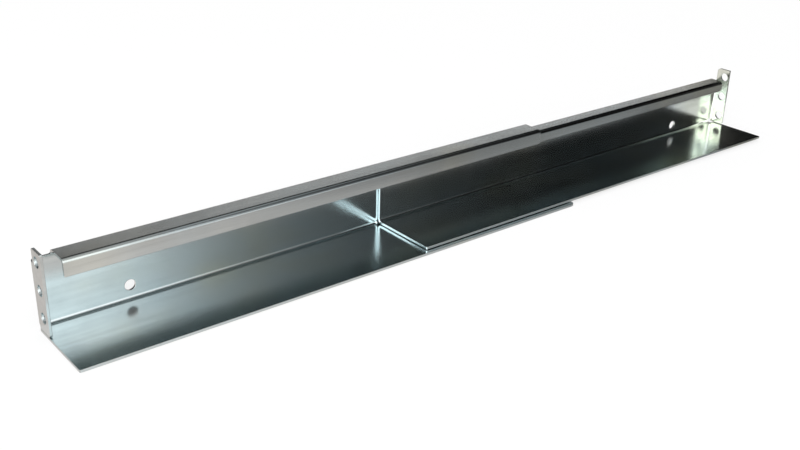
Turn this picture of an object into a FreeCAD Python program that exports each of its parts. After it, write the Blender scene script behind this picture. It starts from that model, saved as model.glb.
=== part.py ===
import FreeCAD, Part
import os
import Sketcher

# A telescoping rack rail: two nested rails, each folded from one piece of sheet steel.
# A rail has a shelf, a web and a cover that ends in a lip. One end of its web turns into an
# ear with three holes, which is screwed to the rack. The inner rail slides in the outer one.
# X runs from the front ear to the rear ear, +Y points away from the shelf, and +Z is up.
# The origin is the middle hole of the front ear, on the ear's outer face.

doc = FreeCAD.newDocument("TelescopingRackRail")

# ---------------------------------------------------------------- driving sizes, in mm
SIZES = (
    ("thickness", 1.5, "sheet of both rails"),
    ("shelf_fold_inside", 2.0, "inside radius of the fold between shelf and web"),
    ("cover_fold_inside", 0.8, "inside radius of the two folds of the cover"),
    ("ear_fold_inside", 2.5, "inside radius of the fold between web and ear"),
    ("shelf_gap", 0.5, "running gap between the shelves"),
    ("side_gap", 0.3, "running gap between the webs, and between the lips"),
    ("cover_gap", 0.5, "running gap between the covers"),
    ("overlap", 128.0, "length of the inner rail that is inside the outer one"),
    ("outer_length", 349.0, "outer rail, ear face to open end"),
    ("outer_height", 43.0, "outer rail, underside of the shelf to top of the cover"),
    ("outer_shelf", 53.5, "width of the outer shelf, from the back of its web"),
    ("outer_cover", 16.5, "width of the outer cover, from the back of its web"),
    ("outer_lip", 10.0, "height of the outer lip, from the top of its cover"),
    ("outer_bare_end", 11.3, "length beside the outer ear that has no cover"),
    ("outer_lip_corner", 0.6, "radius of the outer lip's corner beside the ear"),
    ("inner_length", 345.0, "inner rail, open end to ear face"),
    ("inner_shelf", 48.5, "width of the inner shelf, from the back of its web"),
    ("inner_lip", 7.7, "height of the inner lip, from the top of its cover"),
    ("inner_bare_end", 8.5, "length beside the inner ear that has no cover"),
    ("inner_lip_corner", 3.0, "radius of the inner lip's corner beside the ear"),
    ("shelf_corner", 0.8, "radius of the free corners of the inner shelf, and beside the outer ear"),
    ("outer_open_corner", 3.5, "radius of the outer shelf's corner at its open end"),
    ("outer_ear", 16.8, "width of the outer ear, from the back of its web"),
    ("inner_ear", 13.2, "width of the inner ear, from the back of its web"),
    ("hole_line", 10.8, "back of the outer web to the holes of both ears"),
    ("low_hole", 10.7, "underside of the outer shelf to the lowest hole of both ears"),
    ("hole_pitch", 15.875, "spacing of the ear holes"),
    ("ear_hole", 6.4, "diameter of the ear holes"),
    ("ear_margin", 6.2, "top hole to the top of the ears"),
    ("ear_top_corner", 0.4, "radius of the upper corner on the free edge of the ears"),
    ("ear_low_corner", 1.5, "radius of the lower corner on the free edge of the ears"),
    ("outer_top_tab", 5.6, "back of the outer web to the edge of the tab above the ear's fold"),
    ("outer_low_tab", 4.2, "back of the outer web to the edge of the tab below the ear's fold"),
    ("inner_top_tab", 2.2, "back of the inner web to the edge of the tab above the ear's fold"),
    ("inner_low_tab", 2.0, "back of the inner web to the edge of the tab below the ear's fold"),
    ("outer_tab_corner", 1.0, "radius of the outer ear's upper corner over the web"),
    ("inner_tab_corner", 2.5, "radius of the inner ear's upper corner over the web"),
    ("outer_ear_gap", 0.3, "outer shelf to the lower edge of its ear"),
    ("inner_ear_gap", 0.6, "inner shelf to the lower edge of its ear"),
    ("notch_step", 0.4, "fold of the cover to the web's top edge in the bare end"),
    ("notch_corner", 1.0, "radius of the corner between that top edge and the cover"),
    ("relief_run", 0.5, "fold of the ear to the end of the corner relief"),
    ("relief_step", 0.5, "fold of the shelf to the edges of the corner relief"),
    ("relief_corner", 1.0, "radius of the corner relief's inner corner"),
    ("web_hole", 6.5, "diameter of the hole in each web"),
    ("web_hole_height", 9.9, "underside of the outer shelf to the web holes"),
    ("outer_web_hole", 51.7, "ear face to the hole in the outer web"),
    ("inner_web_hole", 51.7, "ear face to the hole in the inner web"),
)

sheet = doc.addObject("Spreadsheet::Sheet", "Sizes")
for row, (alias, number, note) in enumerate(SIZES, start=1):
    sheet.set("A%d" % row, note)
    sheet.set("B%d" % row, str(number))
    sheet.setAlias("B%d" % row, alias)
doc.recompute()

ALIASES = [alias for alias, number, note in SIZES]


def sized(formula):
    """Turns a formula of size names, with a space round each word, into an expression."""
    return " ".join("Sizes." + word if word in ALIASES else word for word in formula.split())


def value(formula):
    """Works out a formula of size names."""
    return float(sheet.evalExpression(sized(formula)))


# ---------------------------------------------------------------- sizes that follow
SHELF_FOLD = "( shelf_fold_inside + thickness )"
COVER_FOLD = "( cover_fold_inside + thickness )"
EAR_FOLD = "( ear_fold_inside + thickness )"
SIDE_STEP = "( thickness + side_gap )"
FLOOR_STEP = "( thickness + shelf_gap )"
RELIEF = "( shelf_fold_inside + thickness + relief_step )"

OUTER = {
    "name": "outer_rail",
    "hand": 1,
    "length": "outer_length",
    "height": "outer_height",
    "shelf": "outer_shelf",
    "cover": "outer_cover",
    "lip": "outer_lip",
    "lip_corner": "outer_lip_corner",
    "bare_end": "outer_bare_end",
    "open_corner": "outer_open_corner",
    "ear": "outer_ear",
    "top_tab": "outer_top_tab",
    "low_tab": "outer_low_tab",
    "hole_line": "hole_line",
    "low_hole": "low_hole",
    "ear_gap": "outer_ear_gap",
    "tab_corner": "outer_tab_corner",
    "web_hole_run": "outer_web_hole",
    "web_hole_height": "web_hole_height",
    "place": ("0", "hole_line", "- low_hole - hole_pitch"),
}

# The inner rail is the mirror of the outer one, drawn from its own web, shelf and ear.
INNER = {
    "name": "inner_rail",
    "hand": -1,
    "length": "inner_length",
    "height": "( outer_height - thickness - cover_gap - %s )" % FLOOR_STEP,
    "shelf": "inner_shelf",
    "cover": "( outer_cover - 2 * %s )" % SIDE_STEP,
    "lip": "inner_lip",
    "lip_corner": "inner_lip_corner",
    "bare_end": "inner_bare_end",
    "open_corner": "shelf_corner",
    "ear": "inner_ear",
    "top_tab": "inner_top_tab",
    "low_tab": "inner_low_tab",
    "hole_line": "( hole_line - %s )" % SIDE_STEP,
    "low_hole": "( low_hole - %s )" % FLOOR_STEP,
    "ear_gap": "inner_ear_gap",
    "tab_corner": "inner_tab_corner",
    "web_hole_run": "inner_web_hole",
    "web_hole_height": "( web_hole_height - %s )" % FLOOR_STEP,
    "place": (
        "outer_length - overlap + inner_length",
        "hole_line - %s" % SIDE_STEP,
        "%s - low_hole - hole_pitch" % FLOOR_STEP,
    ),
}


# ---------------------------------------------------------------- sketches
START, END, CENTRE = range(1, 4)
LEVEL_AXIS, UPRIGHT_AXIS = range(-1, -3, -1)
ORIGIN = (LEVEL_AXIS, START)


def new_sketch(body, name, role, offset="0"):
    """Makes a sketch parallel to one of the body's own planes, at an offset along its normal."""
    sketch = body.newObject("Sketcher::SketchObject", name)
    plane = next(item for item in body.Origin.OriginFeatures if item.Role == role)
    sketch.AttachmentSupport = [(plane, "")]
    sketch.MapMode = "FlatFace"
    sketch.setExpression("AttachmentOffset.Base.z", sized(offset))
    return sketch


def place_point(sketch, kind, point, formula):
    """Ties a point to its distance from the sketch's origin, along X or Y of the sketch."""
    distance = value(formula)
    if distance == 0:
        axis = UPRIGHT_AXIS if kind == "DistanceX" else LEVEL_AXIS
        sketch.addConstraint(Sketcher.Constraint("PointOnObject", *point, axis))
        return
    ends = (ORIGIN, point) if distance > 0 else (point, ORIGIN)
    number = sketch.addConstraint(Sketcher.Constraint(kind, *ends[0], *ends[1], abs(distance)))
    sign = "" if distance > 0 else "- "
    sketch.setExpression("Constraints[%d]" % number, sized("%s( %s )" % (sign, formula)))


def draw_outline(sketch, corners):
    """Draws a closed outline of level and upright lines through corners given as formulas."""
    points = [FreeCAD.Vector(value(x), value(y), 0) for x, y in corners]
    following = points[1:] + points[:1]
    lines = [Part.LineSegment(point, beyond) for point, beyond in zip(points, following)]
    sketch.addGeometry(lines, False)
    for line, (point, beyond, corner) in enumerate(zip(points, following, corners)):
        next_line = (line + 1) % len(lines)
        sketch.addConstraint(Sketcher.Constraint("Coincident", line, END, next_line, START))
        if abs(beyond.x - point.x) > abs(beyond.y - point.y):
            sketch.addConstraint(Sketcher.Constraint("Horizontal", line))
            place_point(sketch, "DistanceY", (line, START), corner[1])
        else:
            sketch.addConstraint(Sketcher.Constraint("Vertical", line))
            place_point(sketch, "DistanceX", (line, START), corner[0])


def draw_circles(sketch, diameter, centres):
    """Draws circles of one diameter about centres given as formulas."""
    for x, y in centres:
        centre = FreeCAD.Vector(value(x), value(y), 0)
        circle = Part.Circle(centre, FreeCAD.Vector(0, 0, 1), value(diameter) / 2)
        number = sketch.addGeometry(circle, False)
        place_point(sketch, "DistanceX", (number, CENTRE), x)
        place_point(sketch, "DistanceY", (number, CENTRE), y)
        size = sketch.addConstraint(Sketcher.Constraint("Diameter", number, value(diameter)))
        sketch.setExpression("Constraints[%d]" % size, sized(diameter))


# ---------------------------------------------------------------- features
def extrude(kind, sketch, name, length, backwards):
    """Pads or pockets a sketch, and checks that the body has grown or shrunk by it."""
    body = sketch.getParentGeoFeatureGroup()
    before = body.Shape.Volume if body.Tip else 0.0
    feature = body.newObject("PartDesign::" + kind, name)
    feature.Profile = sketch
    feature.Reversed = backwards
    feature.setExpression("Length", sized(length))
    sketch.Visibility = False
    doc.recompute()
    grown = body.Shape.Volume - before
    if not sketch.FullyConstrained or (grown > 0) != (kind == "Pad") or grown == 0:
        raise ValueError(name + " does not build as drawn")


def edges_at(shape, places):
    """Names the straight edges that lie wholly at one of the places, {axis: coordinate}."""
    names = []
    for number, edge in enumerate(shape.Edges, start=1):
        straight = edge.Curve.TypeId == "Part::GeomLine"
        for place in places:
            away = [abs(getattr(vertex.Point, axis) - at) for vertex in edge.Vertexes
                    for axis, at in place.items()]
            if straight and max(away) < 0.001:
                names.append("Edge%d" % number)
    return names


def round_edges(body, name, radius, places):
    """Rounds the straight edges at the places, which must all be there."""
    base = body.Tip
    names = edges_at(base.Shape, places)
    if len(names) != len(places):
        raise ValueError("%s finds %d of %d edges" % (name, len(names), len(places)))
    fillet = body.newObject("PartDesign::Fillet", name)
    fillet.Base = (base, names)
    fillet.setExpression("Radius", sized(radius))
    doc.recompute()


def make_rail(rail):
    """Folds one rail: shelf, web, cover and lip, with the ear turned in over the shelf."""
    name, hand = rail["name"], rail["hand"]
    body = doc.addObject("PartDesign::Body", name)
    body.Label = name
    doc.recompute()

    def along(formula):
        """Measures from the ear's outer face towards the rail's other end."""
        return formula if hand > 0 else "- ( %s )" % formula

    shelf, cover = "- " + rail["shelf"], "- " + rail["cover"]
    height, lip_end = rail["height"], "%s - %s" % (rail["height"], rail["lip"])
    notch_level = "%s - %s - notch_step" % (rail["height"], COVER_FOLD)
    ear_low = "thickness + " + rail["ear_gap"]
    ear_top = "%s + 2 * hole_pitch + ear_margin" % rail["low_hole"]
    ear_edge = "- " + rail["ear"]
    top_tab, low_tab = "- " + rail["top_tab"], "- " + rail["low_tab"]
    relief_end = "%s + relief_run" % EAR_FOLD

    # The covered length: shelf, web, cover and lip in one section.
    section = new_sketch(body, name + "_section", "YZ_Plane", along(rail["bare_end"]))
    draw_outline(section, [
        (shelf, "0"),
        ("0", "0"),
        ("0", height),
        (cover, height),
        (cover, lip_end),
        (cover + " + thickness", lip_end),
        (cover + " + thickness", height + " - thickness"),
        ("- thickness", height + " - thickness"),
        ("- thickness", "thickness"),
        (shelf, "thickness"),
    ])
    covered = "%s - %s" % (rail["length"], rail["bare_end"])
    extrude("Pad", section, name + "_covered", covered, hand < 0)

    # The bare end beside the ear, where the web stops below the fold of the cover.
    angle = new_sketch(body, name + "_angle", "YZ_Plane")
    draw_outline(angle, [
        (shelf, "0"),
        ("0", "0"),
        ("0", notch_level),
        ("- thickness", notch_level),
        ("- thickness", "thickness"),
        (shelf, "thickness"),
    ])
    extrude("Pad", angle, name + "_bare", rail["bare_end"], hand < 0)

    # The ear where it joins the web, between the corner relief and the notch.
    ear = new_sketch(body, name + "_ear_outline", "YZ_Plane")
    draw_outline(ear, [(ear_edge, RELIEF), ("0", RELIEF), ("0", notch_level), (ear_edge, notch_level)])
    extrude("Pad", ear, name + "_ear", "thickness", hand < 0)

    # The corner relief, where the fold of the ear would meet the fold of the shelf.
    relief = new_sketch(body, name + "_relief_outline", "XZ_Plane")
    draw_outline(relief, [
        ("0", "0"),
        (along(relief_end), "0"),
        (along(relief_end), RELIEF),
        ("0", RELIEF),
    ])
    extrude("Pocket", relief, name + "_relief", RELIEF, True)

    # The notch's inner corner, where the web rises to the cover.
    start_of_cover = hand * value(rail["bare_end"])
    notch_corner = {"x": start_of_cover, "z": value(notch_level)}
    round_edges(body, name + "_notch_corner", "notch_corner", [notch_corner])

    # The folds: every outer face has the inside radius and the thickness of the sheet.
    sheet_in = value("thickness")
    top, front = value(height), value(cover)
    shelf_fold, shelf_fold_in = {"y": 0.0, "z": 0.0}, {"y": -sheet_in, "z": sheet_in}
    cover_folds = [{"y": 0.0, "z": top}, {"y": front, "z": top}]
    cover_folds_in = [
        {"y": -sheet_in, "z": top - sheet_in},
        {"y": front + sheet_in, "z": top - sheet_in},
    ]
    ear_fold, ear_fold_in = {"x": 0.0, "y": 0.0}, {"x": hand * sheet_in, "y": -sheet_in}
    round_edges(body, name + "_shelf_fold_outside", SHELF_FOLD, [shelf_fold])
    round_edges(body, name + "_shelf_fold_inside", "shelf_fold_inside", [shelf_fold_in])
    round_edges(body, name + "_cover_folds_outside", COVER_FOLD, cover_folds)
    round_edges(body, name + "_cover_folds_inside", "cover_fold_inside", cover_folds_in)
    round_edges(body, name + "_ear_fold_outside", EAR_FOLD, [ear_fold])
    round_edges(body, name + "_ear_fold_inside", "ear_fold_inside", [ear_fold_in])

    # The ear's tabs above and below its fold, which stand free of the web.
    for part, tab, low, high in (
        ("top", top_tab, notch_level, ear_top),
        ("low", low_tab, ear_low, RELIEF),
    ):
        outline = new_sketch(body, "%s_%s_tab_outline" % (name, part), "YZ_Plane")
        draw_outline(outline, [(ear_edge, low), (tab, low), (tab, high), (ear_edge, high)])
        extrude("Pad", outline, "%s_%s_tab" % (name, part), "thickness", hand < 0)

    # The corners of the blank.
    relief_x = hand * value(relief_end)
    relief_in = value(RELIEF)
    far_end = hand * value(rail["length"])
    lip_corner = {"x": start_of_cover, "z": value(lip_end)}
    round_edges(body, name + "_lip_corner", rail["lip_corner"], [lip_corner])
    shelf_corner = {"x": 0.0, "y": value(shelf)}
    open_corner = {"x": far_end, "y": value(shelf)}
    round_edges(body, name + "_shelf_corner", "shelf_corner", [shelf_corner])
    round_edges(body, name + "_open_corner", rail["open_corner"], [open_corner])
    ear_top_corner = {"y": value(ear_edge), "z": value(ear_top)}
    ear_low_corner = {"y": value(ear_edge), "z": value(ear_low)}
    tab_corner = {"y": value(top_tab), "z": value(ear_top)}
    round_edges(body, name + "_ear_top_corner", "ear_top_corner", [ear_top_corner])
    round_edges(body, name + "_ear_low_corner", "ear_low_corner", [ear_low_corner])
    round_edges(body, name + "_tab_corner", rail["tab_corner"], [tab_corner])
    round_edges(body, name + "_relief_corners", "relief_corner", [
        {"x": relief_x, "y": -relief_in},
        {"x": relief_x, "z": relief_in},
    ])

    # The three rack holes in the ear, and the one hole in the web.
    ear_holes = new_sketch(body, name + "_ear_hole_circles", "YZ_Plane")
    draw_circles(ear_holes, "ear_hole", [
        ("- " + rail["hole_line"], rail["low_hole"]),
        ("- " + rail["hole_line"], rail["low_hole"] + " + hole_pitch"),
        ("- " + rail["hole_line"], rail["low_hole"] + " + 2 * hole_pitch"),
    ])
    extrude("Pocket", ear_holes, name + "_ear_holes", "thickness", hand > 0)
    web_hole = new_sketch(body, name + "_web_hole_circle", "XZ_Plane")
    draw_circles(web_hole, "web_hole", [(along(rail["web_hole_run"]), rail["web_hole_height"])])
    extrude("Pocket", web_hole, name + "_web_hole", "thickness", True)

    for axis, formula in zip("xyz", rail["place"]):
        body.setExpression("Placement.Base." + axis, sized(formula))
    return body


rails = [make_rail(OUTER), make_rail(INNER)]
doc.recompute()

# ---------------------------------------------------------------- checks and files
for item in doc.Objects:
    if "Invalid" in item.State or "Error" in item.State:
        raise ValueError(item.Name + " does not build")
for rail in rails:
    if rail.Shape.isNull() or not rail.Shape.isValid() or len(rail.Shape.Solids) != 1:
        raise ValueError(rail.Label + " is not one sound solid")

os.makedirs("parts", exist_ok=True)
for rail in rails:
    rail.Shape.exportStep("parts/%s.step" % rail.Label)
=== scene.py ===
import math

import bpy
from mathutils import Matrix, Vector


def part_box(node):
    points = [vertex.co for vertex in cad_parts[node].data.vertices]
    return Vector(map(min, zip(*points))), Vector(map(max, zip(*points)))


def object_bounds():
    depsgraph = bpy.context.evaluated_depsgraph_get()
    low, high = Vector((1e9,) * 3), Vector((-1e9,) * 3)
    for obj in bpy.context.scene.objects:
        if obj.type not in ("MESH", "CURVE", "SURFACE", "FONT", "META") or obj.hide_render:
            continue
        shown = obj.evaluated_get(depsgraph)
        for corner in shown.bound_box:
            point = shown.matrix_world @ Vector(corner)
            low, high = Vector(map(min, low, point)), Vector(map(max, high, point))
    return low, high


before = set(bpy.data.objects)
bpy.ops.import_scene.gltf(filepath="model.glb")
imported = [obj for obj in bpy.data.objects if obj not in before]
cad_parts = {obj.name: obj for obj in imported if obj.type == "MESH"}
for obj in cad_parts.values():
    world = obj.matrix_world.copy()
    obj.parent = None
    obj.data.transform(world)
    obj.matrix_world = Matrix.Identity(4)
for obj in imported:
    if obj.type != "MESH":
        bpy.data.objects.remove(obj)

cad_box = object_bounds()

# ---- Outer rail
# The fixed half of the telescoping rail: cold-rolled steel sheet, punched flat and folded into
# a shelf, a web, a cover with a lip, and an ear for the rack screws. It is zinc plated after
# folding and passivated clear, which leaves a cool, half-mirror skin over the rolling lines.


def add_node(tree, kind, x, y, settings=(), values=()):
    """Adds a node at a place in the tree, with its settings and its unlinked inputs."""
    node = tree.nodes.new(kind)
    node.location = (x, y)
    for name, setting in dict(settings).items():
        setattr(node, name, setting)
    for socket, number in dict(values).items():
        node.inputs[socket].default_value = number
    return node


def connect(tree, *links):
    """Links each pair of an output and an input."""
    for source, target in links:
        tree.links.new(source, target)


def new_group(name, inputs, outputs):
    """Starts a shader group from its inputs (name: default, three numbers make a vector) and
    its outputs (name: kind)."""
    tree = bpy.data.node_groups.new(name, "ShaderNodeTree")
    for title, default in inputs.items():
        kind = "NodeSocketVector" if isinstance(default, tuple) else "NodeSocketFloat"
        socket = tree.interface.new_socket(title, in_out="INPUT", socket_type=kind)
        socket.default_value = default
    for title, kind in outputs.items():
        tree.interface.new_socket(title, in_out="OUTPUT", socket_type="NodeSocket" + kind)
    return tree, tree.nodes.new("NodeGroupInput"), tree.nodes.new("NodeGroupOutput")


def one_over(tree, size, x, y):
    """Adds 1 / size, which is the scale of a pattern of that size, and returns its output."""
    inverse = add_node(tree, "ShaderNodeMath", x, y, {"operation": "DIVIDE"}, {0: 1.0})
    tree.links.new(size, inverse.inputs[1])
    return inverse.outputs[0]


def stretched(tree, place, length, width, x, y):
    """Scales a place for a pattern of this length along X and this width across it."""
    scale = add_node(tree, "ShaderNodeCombineXYZ", x, y)
    scaled = add_node(tree, "ShaderNodeVectorMath", x + 200, y, {"operation": "MULTIPLY"})
    per_length = one_over(tree, length, x - 200, y + 100)
    per_width = one_over(tree, width, x - 200, y - 100)
    connect(
        tree,
        (per_length, scale.inputs["X"]),
        (per_width, scale.inputs["Y"]),
        (per_width, scale.inputs["Z"]),
        (place, scaled.inputs[0]),
        (scale.outputs[0], scaled.inputs[1]),
    )
    return scaled.outputs[0]


def soft_mask(tree, source, none, full, x, y):
    """Adds a mask that rises smoothly as a value goes from none to full; returns its output."""
    step = add_node(
        tree, "ShaderNodeMapRange", x, y, {"interpolation_type": "SMOOTHSTEP"},
        {"From Min": none, "From Max": full},
    )
    tree.links.new(source, step.inputs["Value"])
    return step.outputs["Result"]


# Rolling leaves the strip with fine parallel lines, some centimetres long and a fraction of a
# millimetre wide, faint wider bands between them, and a matt skin of grains under it all.
# The lines run along the strip, which is the rail's X.
rolling, rolling_in, rolling_out = new_group(
    "rolled_strip",
    {
        "Vector": (0.0, 0.0, 0.0),
        "Line Width": 0.00035,
        "Line Length": 0.030,
        "Grain Size": 0.00012,
        "Line Share": 0.25,
    },
    {"Height": "Float", "Band": "Float"},
)
along = stretched(
    rolling,
    rolling_in.outputs["Vector"],
    rolling_in.outputs["Line Length"],
    rolling_in.outputs["Line Width"],
    -700, 0,
)
per_grain = one_over(rolling, rolling_in.outputs["Grain Size"], -500, -500)
bands_per_line = (0.3, 0.10, 0.10)
lines = add_node(rolling, "ShaderNodeTexNoise", -300, 100, (), {"Scale": 1.0, "Detail": 2.0})
wider = add_node(
    rolling, "ShaderNodeVectorMath", -500, -300, {"operation": "MULTIPLY"}, {1: bands_per_line}
)
bands = add_node(rolling, "ShaderNodeTexNoise", -300, -200, (), {"Scale": 1.0, "Detail": 2.0})
grains = add_node(rolling, "ShaderNodeTexNoise", -300, -400, (), {"Detail": 0.0})
relief = add_node(rolling, "ShaderNodeMath", 0, 0, {"operation": "MULTIPLY_ADD"})
connect(
    rolling,
    (along, lines.inputs["Vector"]),
    (along, wider.inputs[0]),
    (wider.outputs[0], bands.inputs["Vector"]),
    (rolling_in.outputs["Vector"], grains.inputs["Vector"]),
    (per_grain, grains.inputs["Scale"]),
    (lines.outputs["Fac"], relief.inputs[0]),
    (rolling_in.outputs["Line Share"], relief.inputs[1]),
    (grains.outputs["Fac"], relief.inputs[2]),
    (relief.outputs[0], rolling_out.inputs["Height"]),
    (bands.outputs["Fac"], rolling_out.inputs["Band"]),
)

# The passivated zinc isn't one colour: it drifts between a cool blue grey and a faint yellow
# green over a few centimetres, as the thickness of its clear film drifts, and is yellower at
# the end where the film drained as the rail hung from its hook.
film, film_in, film_out = new_group(
    "passivation_film",
    {
        "Vector": (0.0, 0.0, 0.0),
        "Patch Size": 0.060,
        "Warmth": 0.5,
        "Drain Start": 0.10,
        "Drain End": 0.16,
        "Drained": 0.0,
    },
    {"Color": "Color"},
)
per_patch = one_over(film, film_in.outputs["Patch Size"], -900, -100)
patches = add_node(film, "ShaderNodeTexNoise", -700, 0, (), {"Detail": 2.0, "Roughness": 0.45})
level = add_node(film, "ShaderNodeMath", -700, -250, {"operation": "SUBTRACT"}, {1: 0.5})
film_place = add_node(film, "ShaderNodeSeparateXYZ", -900, -450)
drained = add_node(film, "ShaderNodeMapRange", -700, -450, {"interpolation_type": "SMOOTHSTEP"})
drift = add_node(film, "ShaderNodeMath", -500, 0, {"operation": "ADD"})
shift = add_node(film, "ShaderNodeMath", -300, 0, {"operation": "MULTIPLY_ADD"})
tint = add_node(film, "ShaderNodeValToRGB", -100, 0)
cool_zinc = (0.634, 0.720, 0.744, 1)
plain_zinc = (0.652, 0.720, 0.730, 1)
warm_zinc = (0.690, 0.728, 0.664, 1)
coolest, plain, warmest = 0.30, 0.52, 0.78
tint.color_ramp.elements[0].position = coolest
tint.color_ramp.elements[0].color = cool_zinc
tint.color_ramp.elements[1].position = warmest
tint.color_ramp.elements[1].color = warm_zinc
tint.color_ramp.elements.new(plain).color = plain_zinc
connect(
    film,
    (film_in.outputs["Vector"], patches.inputs["Vector"]),
    (per_patch, patches.inputs["Scale"]),
    (film_in.outputs["Warmth"], level.inputs[0]),
    (film_in.outputs["Vector"], film_place.inputs[0]),
    (film_place.outputs["X"], drained.inputs["Value"]),
    (film_in.outputs["Drain Start"], drained.inputs["From Min"]),
    (film_in.outputs["Drain End"], drained.inputs["From Max"]),
    (patches.outputs["Fac"], drift.inputs[0]),
    (level.outputs[0], drift.inputs[1]),
    (drained.outputs["Result"], shift.inputs[0]),
    (film_in.outputs["Drained"], shift.inputs[1]),
    (drift.outputs[0], shift.inputs[2]),
    (shift.outputs[0], tint.inputs["Fac"]),
    (tint.outputs["Color"], film_out.inputs["Color"]),
)

# Handling dulls the plating in soft smudges, and leaves short rubbed marks along the slide.
handling, handling_in, handling_out = new_group(
    "handling_marks",
    {
        "Vector": (0.0, 0.0, 0.0),
        "Smudge Size": 0.045,
        "Rub Length": 0.020,
        "Rub Width": 0.0006,
    },
    {"Smudge": "Float", "Rub": "Float"},
)
per_smudge = one_over(handling, handling_in.outputs["Smudge Size"], -700, 0)
rub_place = stretched(
    handling,
    handling_in.outputs["Vector"],
    handling_in.outputs["Rub Length"],
    handling_in.outputs["Rub Width"],
    -700, -300,
)
smudges = add_node(handling, "ShaderNodeTexNoise", -500, 0, (), {"Detail": 3.0, "Roughness": 0.55})
rubs = add_node(handling, "ShaderNodeTexNoise", -300, -300, (), {"Scale": 1.0, "Detail": 1.0})
smudge_mask = soft_mask(handling, smudges.outputs["Fac"], 0.45, 0.72, -100, 0)
rub_mask = soft_mask(handling, rubs.outputs["Fac"], 0.66, 0.80, -100, -300)
connect(
    handling,
    (handling_in.outputs["Vector"], smudges.inputs["Vector"]),
    (per_smudge, smudges.inputs["Scale"]),
    (rub_place, rubs.inputs["Vector"]),
    (smudge_mask, handling_out.inputs["Smudge"]),
    (rub_mask, handling_out.inputs["Rub"]),
)

# Punching rounds the sheet's corners over by a fraction of a millimetre, and the plating wears
# there first, back to the paler zinc. The rounding is in the normal, the wear in the mask.
edges, edges_in, edges_out = new_group(
    "punched_edge", {"Radius": 0.0003}, {"Edge": "Float", "Normal": "Vector"}
)
rounded = add_node(edges, "ShaderNodeBevel", -500, 0, {"samples": 6})
surface_normal = add_node(edges, "ShaderNodeNewGeometry", -500, -200)
agreement = add_node(edges, "ShaderNodeVectorMath", -300, -100, {"operation": "DOT_PRODUCT"})
edge_mask = soft_mask(edges, agreement.outputs["Value"], 0.97, 0.80, -100, -100)
connect(
    edges,
    (edges_in.outputs["Radius"], rounded.inputs["Radius"]),
    (rounded.outputs["Normal"], agreement.inputs[0]),
    (surface_normal.outputs["Normal"], agreement.inputs[1]),
    (edge_mask, edges_out.inputs["Edge"]),
    (rounded.outputs["Normal"], edges_out.inputs["Normal"]),
)

# The long front edge of the shelf is sheared, so its face is torn and duller than the sheet.
shear, shear_in, shear_out = new_group(
    "sheared_edge", {"Vector": (0.0, 0.0, 0.0), "Front": -0.02}, {"Cut": "Float"}
)
shear_place = add_node(shear, "ShaderNodeSeparateXYZ", -500, 0)
in_front = add_node(shear, "ShaderNodeMath", -300, 0, {"operation": "LESS_THAN"})
connect(
    shear,
    (shear_in.outputs["Vector"], shear_place.inputs[0]),
    (shear_place.outputs["Y"], in_front.inputs[0]),
    (shear_in.outputs["Front"], in_front.inputs[1]),
    (in_front.outputs[0], shear_out.inputs["Cut"]),
)


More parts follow.
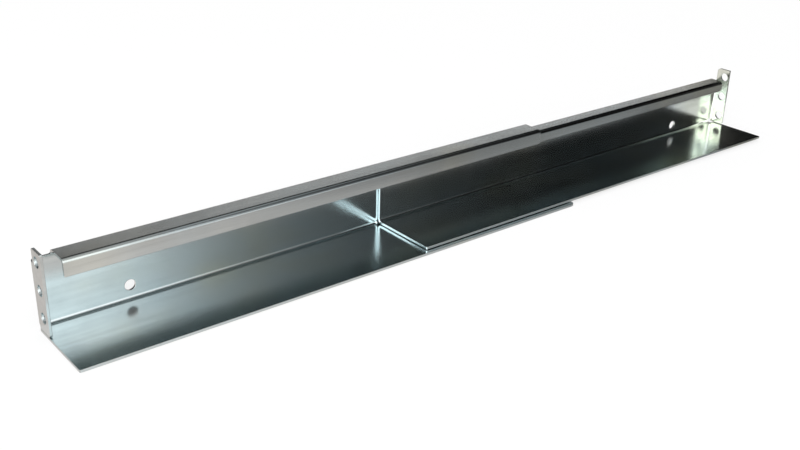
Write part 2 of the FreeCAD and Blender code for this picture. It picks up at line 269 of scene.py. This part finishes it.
def zinc_plated_sheet(rail, gloss, grain_height, warmth, drained):
    """Makes the plated finish of a rail, its patterns centred on it, with its own film."""
    low, high = (Vector(corner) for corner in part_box(rail))
    centre = (low + high) / 2
    torn_depth = 0.0001
    material = bpy.data.materials.new("zinc_on_" + rail)
    material.use_nodes = True
    tree = material.node_tree
    metal = tree.nodes["Principled BSDF"]
    metal.inputs["Metallic"].default_value = 1.0
    place = add_node(tree, "ShaderNodeTexCoord", -1500, 0)
    middle = add_node(tree, "ShaderNodeMapping", -1300, 0, (), {"Location": -centre})
    tree.links.new(place.outputs["Object"], middle.inputs["Vector"])
    groups = {}
    for row, (group, values) in enumerate((
        (rolling, {}),
        (film, {"Warmth": warmth, "Drained": drained}),
        (handling, {}),
        (edges, {}),
        (shear, {"Front": low.y - centre.y + torn_depth}),
    )):
        groups[group] = add_node(
            tree, "ShaderNodeGroup", -1050, 200 - 220 * row, {"node_tree": group}, values
        )
        if "Vector" in groups[group].inputs:
            tree.links.new(middle.outputs["Vector"], groups[group].inputs["Vector"])

    # Colour: the film's, dulled a little along the rolling bands and in the smudges, and a touch
    # paler and warmer where an edge is worn.
    brightest, band_dulling, smudge_dulling = 1.10, 0.20, 0.09
    worn_zinc, worn_share = (0.76, 0.75, 0.72, 1), 0.7
    dulled = add_node(
        tree, "ShaderNodeMath", -900, 600, {"operation": "MULTIPLY_ADD"},
        {1: -band_dulling, 2: brightest},
    )
    smudged = add_node(
        tree, "ShaderNodeMath", -700, 600, {"operation": "MULTIPLY_ADD"}, {1: -smudge_dulling}
    )
    streaked = add_node(tree, "ShaderNodeVectorMath", -500, 500, {"operation": "SCALE"})
    wear = add_node(tree, "ShaderNodeMath", -700, 400, {"operation": "MULTIPLY"}, {1: worn_share})
    worn = add_node(tree, "ShaderNodeMix", -300, 300, {"data_type": "RGBA"}, {"B": worn_zinc})
    connect(
        tree,
        (groups[rolling].outputs["Band"], dulled.inputs[0]),
        (groups[handling].outputs["Smudge"], smudged.inputs[0]),
        (dulled.outputs[0], smudged.inputs[2]),
        (groups[film].outputs["Color"], streaked.inputs[0]),
        (smudged.outputs[0], streaked.inputs["Scale"]),
        (groups[edges].outputs["Edge"], wear.inputs[0]),
        (wear.outputs[0], worn.inputs["Factor"]),
        (streaked.outputs[0], worn.inputs["A"]),
        (worn.outputs["Result"], metal.inputs["Base Color"]),
    )

    # Roughness: the gloss of the plating, and what each band, smudge, rubbed mark, worn edge and
    # torn face adds to it.
    total = None
    for row, (group, mask, added) in enumerate((
        (rolling, "Band", 0.04),
        (handling, "Smudge", 0.04),
        (handling, "Rub", 0.06),
        (edges, "Edge", 0.12),
        (shear, "Cut", 0.35),
    )):
        term = add_node(
            tree, "ShaderNodeMath", -750 + 200 * row, 0, {"operation": "MULTIPLY_ADD"},
            {1: added, 2: gloss},
        )
        tree.links.new(groups[group].outputs[mask], term.inputs[0])
        if total:
            tree.links.new(total, term.inputs[2])
        total = term.outputs[0]
    tree.links.new(total, metal.inputs["Roughness"])

    # Bump: the matt grain and the rolling lines, on the normal that the punched edges round.
    bump = add_node(
        tree, "ShaderNodeBump", -250, -350, (), {"Strength": 1.0, "Distance": grain_height}
    )
    connect(
        tree,
        (groups[rolling].outputs["Height"], bump.inputs["Height"]),
        (groups[edges].outputs["Normal"], bump.inputs["Normal"]),
        (bump.outputs["Normal"], metal.inputs["Normal"]),
    )
    return material


def finish_node(name, material):
    """Gives a CAD node's mesh one material in all its slots."""
    for material_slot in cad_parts[name].material_slots:
        material_slot.material = material


finish_node("outer_rail", zinc_plated_sheet(
    "outer_rail", gloss=0.14, grain_height=0.000005, warmth=0.45, drained=0.0
))

# ---- Inner rail
# The sliding half: the outer rail in the other hand, one sheet and a running gap smaller all
# round, and folded from the same plated strip. The passivation shows most at its ear and at its
# cover's end, so its film is a little warmer and has drained to that end.

finish_node("inner_rail", zinc_plated_sheet(
    "inner_rail", gloss=0.13, grain_height=0.000005, warmth=0.50, drained=0.50
))

# ---- Studio
# A pale table in a white room, with one soft box. The plating mirrors boards and cards that stand
# in no other view and glow with painted light, so what it mirrors is painted reflection: white to
# black in front, grey overhead, and grey with a black top behind.

world = bpy.data.worlds.new("white_room")
scene = bpy.context.scene
scene.world = world
scene.view_settings.view_transform = "Standard"
world.use_nodes = True
room = world.node_tree.nodes["Background"]
room.inputs["Color"].default_value = (1, 1, 1, 1)
room.inputs["Strength"].default_value = 1.0

centre = (Vector(cad_box[0]) + Vector(cad_box[1])) / 2
table_gap = 0.0002
table_level = cad_box[0][2] - table_gap


def flat_board(name, corners, material):
    """Makes a staged board from its corners."""
    mesh = bpy.data.meshes.new(name)
    mesh.from_pydata(corners, [], [tuple(range(len(corners)))])
    board = bpy.data.objects.new(name, mesh)
    scene.collection.objects.link(board)
    mesh.materials.append(material)
    return board


def lying(left, right, front, back, height):
    """The corners of a board that lies flat."""
    return [
        (left, front, height),
        (right, front, height),
        (right, back, height),
        (left, back, height),
    ]


# The table: matt white, and a plain white where the camera or a reflection meets it, with a
# share of its own light left in so that the rail's soft shadow stays.
plain_share = 0.75
table_finish = bpy.data.materials.new("white_table")
table_finish.use_nodes = True
tree = table_finish.node_tree
tree.nodes.clear()
matt = add_node(tree, "ShaderNodeBsdfDiffuse", -200, 100, (), {"Color": (0.9, 0.9, 0.9, 1)})
white = add_node(tree, "ShaderNodeEmission", -200, -100, (), {"Color": (1, 1, 1, 1), "Strength": 1.0})
path = add_node(tree, "ShaderNodeLightPath", -800, 200)
seen = add_node(tree, "ShaderNodeMath", -600, 200, {"operation": "MAXIMUM"})
seen_through = add_node(tree, "ShaderNodeMath", -400, 200, {"operation": "MAXIMUM"})
share = add_node(tree, "ShaderNodeMath", -200, 300, {"operation": "MULTIPLY"}, {1: plain_share})
mix = add_node(tree, "ShaderNodeMixShader", 0, 0)
surface = add_node(tree, "ShaderNodeOutputMaterial", 200, 0)
connect(
    tree,
    (path.outputs["Is Camera Ray"], seen.inputs[0]),
    (path.outputs["Is Glossy Ray"], seen.inputs[1]),
    (seen.outputs[0], seen_through.inputs[0]),
    (path.outputs["Is Transmission Ray"], seen_through.inputs[1]),
    (seen_through.outputs[0], share.inputs[0]),
    (share.outputs[0], mix.inputs["Fac"]),
    (matt.outputs[0], mix.inputs[1]),
    (white.outputs[0], mix.inputs[2]),
    (mix.outputs[0], surface.inputs["Surface"]),
)
table_half = 6.0
flat_board(
    "table",
    lying(centre.x - table_half, centre.x + table_half, -table_half, table_half, table_level),
    table_finish,
)


def grey(level, warmth=0.0):
    """A grey of this brightness, warmer or cooler."""
    return (level * (1 + 2 * warmth), level, level * (1 - warmth), 1)


def painted_board_glow(name, stops):
    """A board's even glow of painted light, shaded along X through its stops (place, colour)."""
    material = bpy.data.materials.new(name)
    material.use_nodes = True
    tree = material.node_tree
    tree.nodes.clear()
    start, end = stops[0][0], stops[-1][0]
    place = add_node(tree, "ShaderNodeTexCoord", -900, 0)
    split = add_node(tree, "ShaderNodeSeparateXYZ", -700, 0)
    share = add_node(
        tree, "ShaderNodeMapRange", -500, 0, (), {"From Min": start, "From Max": end}
    )
    ramp = add_node(tree, "ShaderNodeValToRGB", -300, 0)
    glow = add_node(tree, "ShaderNodeEmission", 0, 0)
    surface = add_node(tree, "ShaderNodeOutputMaterial", 200, 0)
    elements = ramp.color_ramp.elements
    for index, (x, color) in enumerate(stops):
        position = (x - start) / (end - start)
        if 0 < index < len(stops) - 1:
            element = elements.new(position)
        else:
            element = elements[0 if index == 0 else -1]
            element.position = position
        element.color = color
    connect(
        tree,
        (place.outputs["Object"], split.inputs[0]),
        (split.outputs["X"], share.inputs["Value"]),
        (share.outputs["Result"], ramp.inputs["Fac"]),
        (ramp.outputs["Color"], glow.inputs["Color"]),
        (glow.outputs[0], surface.inputs["Surface"]),
    )
    return material


def reflected_board(name, corners, material):
    """Makes a board that only the plating sees, glowing with painted light: it stands in no view
    and throws no shadow.
    """
    board = flat_board(name, corners, material)
    board.visible_camera = False
    board.visible_diffuse = False
    board.visible_transmission = False
    board.visible_shadow = False


def standing(left, right, y, foot, head):
    """The corners of a board that stands along the rail."""
    return [
        (left, y, foot),
        (right, y, foot),
        (right, y, head),
        (left, y, head),
    ]


# The board in front of the rail, level with it, glows with painted light: white to the left, and
# black to the right, where it turns back along the right side of the room.
room_left, room_right = -4.0, 7.0
room_front, room_back = -1.5, 1.6
ceiling_level = 1.35
board_start = -0.30
front_painted_glow = painted_board_glow("front_board", (
    (board_start, grey(1.28)),
    (0.30, grey(1.36)),
    (0.54, grey(1.64)),
    (0.61, grey(1.44)),
    (0.70, grey(1.08)),
    (0.78, grey(0.66)),
    (0.84, grey(0.47)),
    (0.93, grey(0.27)),
    (1.05, grey(0.19)),
    (1.20, grey(0.125)),
    (1.42, grey(0.05)),
    (1.70, grey(0.015)),
    (2.00, grey(0.001)),
    (2.37, grey(0.001)),
    (2.50, grey(0.006)),
    (2.60, grey(0.025)),
    (2.80, grey(0.06)),
    (3.20, grey(0.01)),
))
reflected_board(
    "board_front",
    standing(board_start, room_right, room_front, table_level, ceiling_level),
    front_painted_glow,
)
reflected_board("board_right", [
    (room_right, room_front, table_level),
    (room_right, room_back, table_level),
    (room_right, room_back, ceiling_level),
    (room_right, room_front, ceiling_level),
], front_painted_glow)

# A sheet on the table between the rail and that board, glowing with painted light that fades from
# white to black too: the table's darkening to the right, painted into its reflection.
falloff_start, falloff_back = 0.30, -0.16
falloff_lift = 0.0001
reflected_board(
    "painted_falloff_front_right",
    lying(falloff_start, room_right, room_front, falloff_back, table_level + falloff_lift),
    painted_board_glow("painted_falloff_sheet", (
        (falloff_start, grey(1.0)),
        (0.42, grey(0.40)),
        (0.55, grey(0.12)),
        (0.80, grey(0.02)),
        (1.60, grey(0.005)),
    )),
)

# The ceiling glows with painted light: over the camera it is lit at its left, right over the rail it
# is grey, and behind the rail it is dark.
overhead_front, overhead_back = -0.36, 0.36
for name, panel_front, panel_back, stops in (
    ("ceiling_front", room_front, overhead_front, (
        (0.10, grey(1.0)),
        (0.50, grey(0.60)),
        (0.75, grey(0.25)),
        (1.00, grey(0.10)),
        (1.30, grey(0.02)),
        (1.80, grey(0.004)),
    )),
    ("ceiling_overhead", overhead_front, overhead_back, (
        (-0.6, grey(0.05)),
        (-0.2, grey(0.40)),
        (0.7, grey(0.40)),
        (1.3, grey(0.05)),
        (2.0, grey(0.003)),
    )),
    ("ceiling_back", overhead_back, room_back, (
        (0.0, grey(0.05)),
        (1.2, grey(0.01)),
        (2.0, grey(0.003)),
    )),
):
    reflected_board(
        name,
        lying(room_left, room_right, panel_front, panel_back, ceiling_level),
        painted_board_glow(name, stops),
    )

# The board behind the rail glows with painted light: grey, darker to its left and ending at its
# right, with a black one above it.
grey_top = 0.84
for name, foot, head, stops in (
    ("board_behind", table_level, grey_top, (
        (0.30, grey(0.145, 0.03)),
        (0.72, grey(0.47, 0.03)),
        (1.05, grey(0.60, 0.03)),
        (2.10, grey(0.73, 0.02)),
        (2.85, grey(0.73, 0.02)),
        (3.05, grey(0.01)),
    )),
    ("board_behind_top", grey_top, ceiling_level, (
        (0.0, grey(0.06)),
        (2.0, grey(0.01)),
    )),
):
    reflected_board(
        name, standing(room_left, room_right, room_back, foot, head), painted_board_glow(name, stops)
    )

# The cards on the table glow with painted light: one behind the rail, one under it, and two further
# out in front that the lips look down on. All but the first are painted darker to the right, as the
# soft box's light falls off. The last card is painted bright again: it lies beyond the far ear,
# where the web's end looks.
card_start, card_finish = -0.6, 1.2
card_lift, end_card_lift = 0.00015, 0.00018
rail_back, near_front, middle_front = 0.012, -0.066, -0.076
end_start, end_finish, end_front = cad_box[1][0] + 0.0005, 0.80, -0.045
for name, left, right, front, back, lift, stops in (
    ("card_behind", card_start, card_finish, rail_back, 0.40, card_lift, (
        (-0.02, grey(0.62, 0.06)),
        (0.30, grey(0.89, 0.03)),
    )),
    ("card_near", card_start, card_finish, near_front, rail_back, card_lift, (
        (0.0, grey(0.73, 0.04)),
        (0.15, grey(0.59, 0.05)),
        (0.27, grey(0.47, 0.05)),
        (0.38, grey(0.30, 0.04)),
        (0.44, grey(0.40, 0.02)),
        (0.50, grey(0.29, 0.02)),
        (0.58, grey(0.06, 0.02)),
    )),
    ("card_middle", card_start, card_finish, middle_front, near_front, card_lift, (
        (0.05, grey(0.78, 0.05)),
        (0.15, grey(0.58, 0.05)),
        (0.25, grey(0.42, 0.05)),
        (0.34, grey(0.28, 0.03)),
        (0.46, grey(0.27, 0.02)),
        (0.55, grey(0.28, 0.02)),
    )),
    ("card_far", card_start, card_finish, falloff_back, middle_front, card_lift, (
        (0.05, grey(0.67, 0.05)),
        (0.15, grey(0.47, 0.05)),
        (0.25, grey(0.29, 0.05)),
        (0.34, grey(0.21, 0.03)),
        (0.50, grey(0.22, 0.02)),
    )),
    ("card_end", end_start, end_finish, end_front, rail_back, end_card_lift, (
        (end_start, grey(0.86)),
        (end_finish, grey(0.86)),
    )),
):
    reflected_board(
        name, lying(left, right, front, back, table_level + lift), painted_board_glow(name, stops)
    )

# The soft box, left of the camera and above it, turned to the rail's middle.
softbox_data = bpy.data.lights.new("softbox_left", "AREA")
softbox_data.shape = "RECTANGLE"
softbox_data.size = 2.2
softbox_data.size_y = 1.4
softbox_data.energy = 24.0
softbox = bpy.data.objects.new("softbox_left", softbox_data)
scene.collection.objects.link(softbox)
softbox.location = (-1.00, -1.20, 0.66)
softbox.rotation_euler = (centre - softbox.location).to_track_quat("-Z", "Y").to_euler()

# ---- Camera
# It stands in front and to the left of the rail's near end, a forearm above it, and looks along
# to the far ear through a normal lens. It is tilted sideways by a degree or so.

camera_data = bpy.data.cameras.new("camera")
camera_data.sensor_width = 36.0
camera_data.lens = 47.08
camera_data.clip_start = 0.01
camera = bpy.data.objects.new("camera", camera_data)
scene.collection.objects.link(camera)
azimuth, elevation, roll = (math.radians(angle) for angle in (-39.145, 24.582, 1.408))
level_out = math.cos(elevation)
back = Vector((math.sin(azimuth) * level_out, -math.cos(azimuth) * level_out, math.sin(elevation)))
right = (-back).cross(Vector((0, 0, 1))).normalized()
up = right.cross(-back)
right, up = (
    right * math.cos(roll) + up * math.sin(roll),
    up * math.cos(roll) - right * math.sin(roll),
)
camera.matrix_world = Matrix((right, up, back)).transposed().to_4x4()
camera.matrix_world.translation = Vector((-0.15192, -0.47147, 0.25237))
scene.camera = camera
